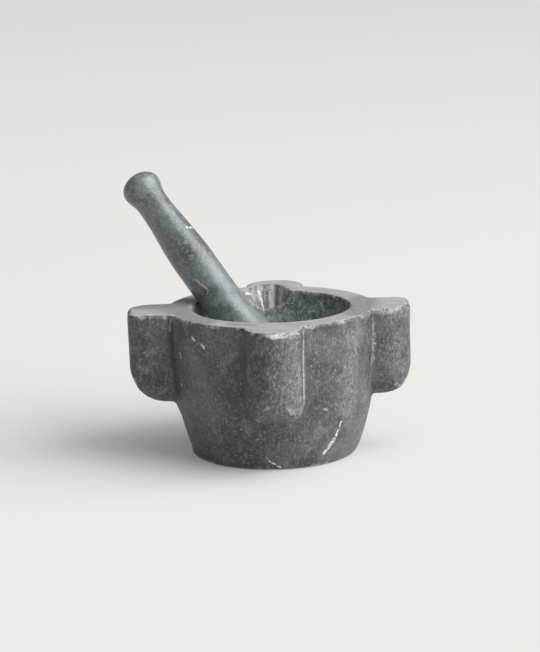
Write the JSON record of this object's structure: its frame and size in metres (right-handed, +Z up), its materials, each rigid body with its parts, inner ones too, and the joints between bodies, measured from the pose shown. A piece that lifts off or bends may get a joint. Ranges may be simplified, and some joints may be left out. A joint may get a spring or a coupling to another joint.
{
  "type": "mortar and pestle",
  "caption": "Bowl-shaped stone mortar with upright lugs round its wall and a spout channel in one of them, with a stone pestle leaning in it.",
  "frame": {"origin": "centre of the mortar's flat foot, on the surface that it stands on", "axes": "+Z up; -Y towards the front lug, so +Y towards the lug with the spout; +X towards the right lug"},
  "size_m": [0.2075, 0.194, 0.201],
  "materials": {
    "mortar_stone": "matte",
    "pestle_stone": "satin"
  },
  "bodies": {
    "mortar": {"mortar": "mortar_stone"},
    "pestle": {"pestle": "pestle_stone"}
  },
  "joints": [
    {"name": "pestle_lift", "type": "slide", "parent": "mortar", "child": "pestle", "axis": [0, 0, 1], "range_m": [0, 0.12]}
  ]
}
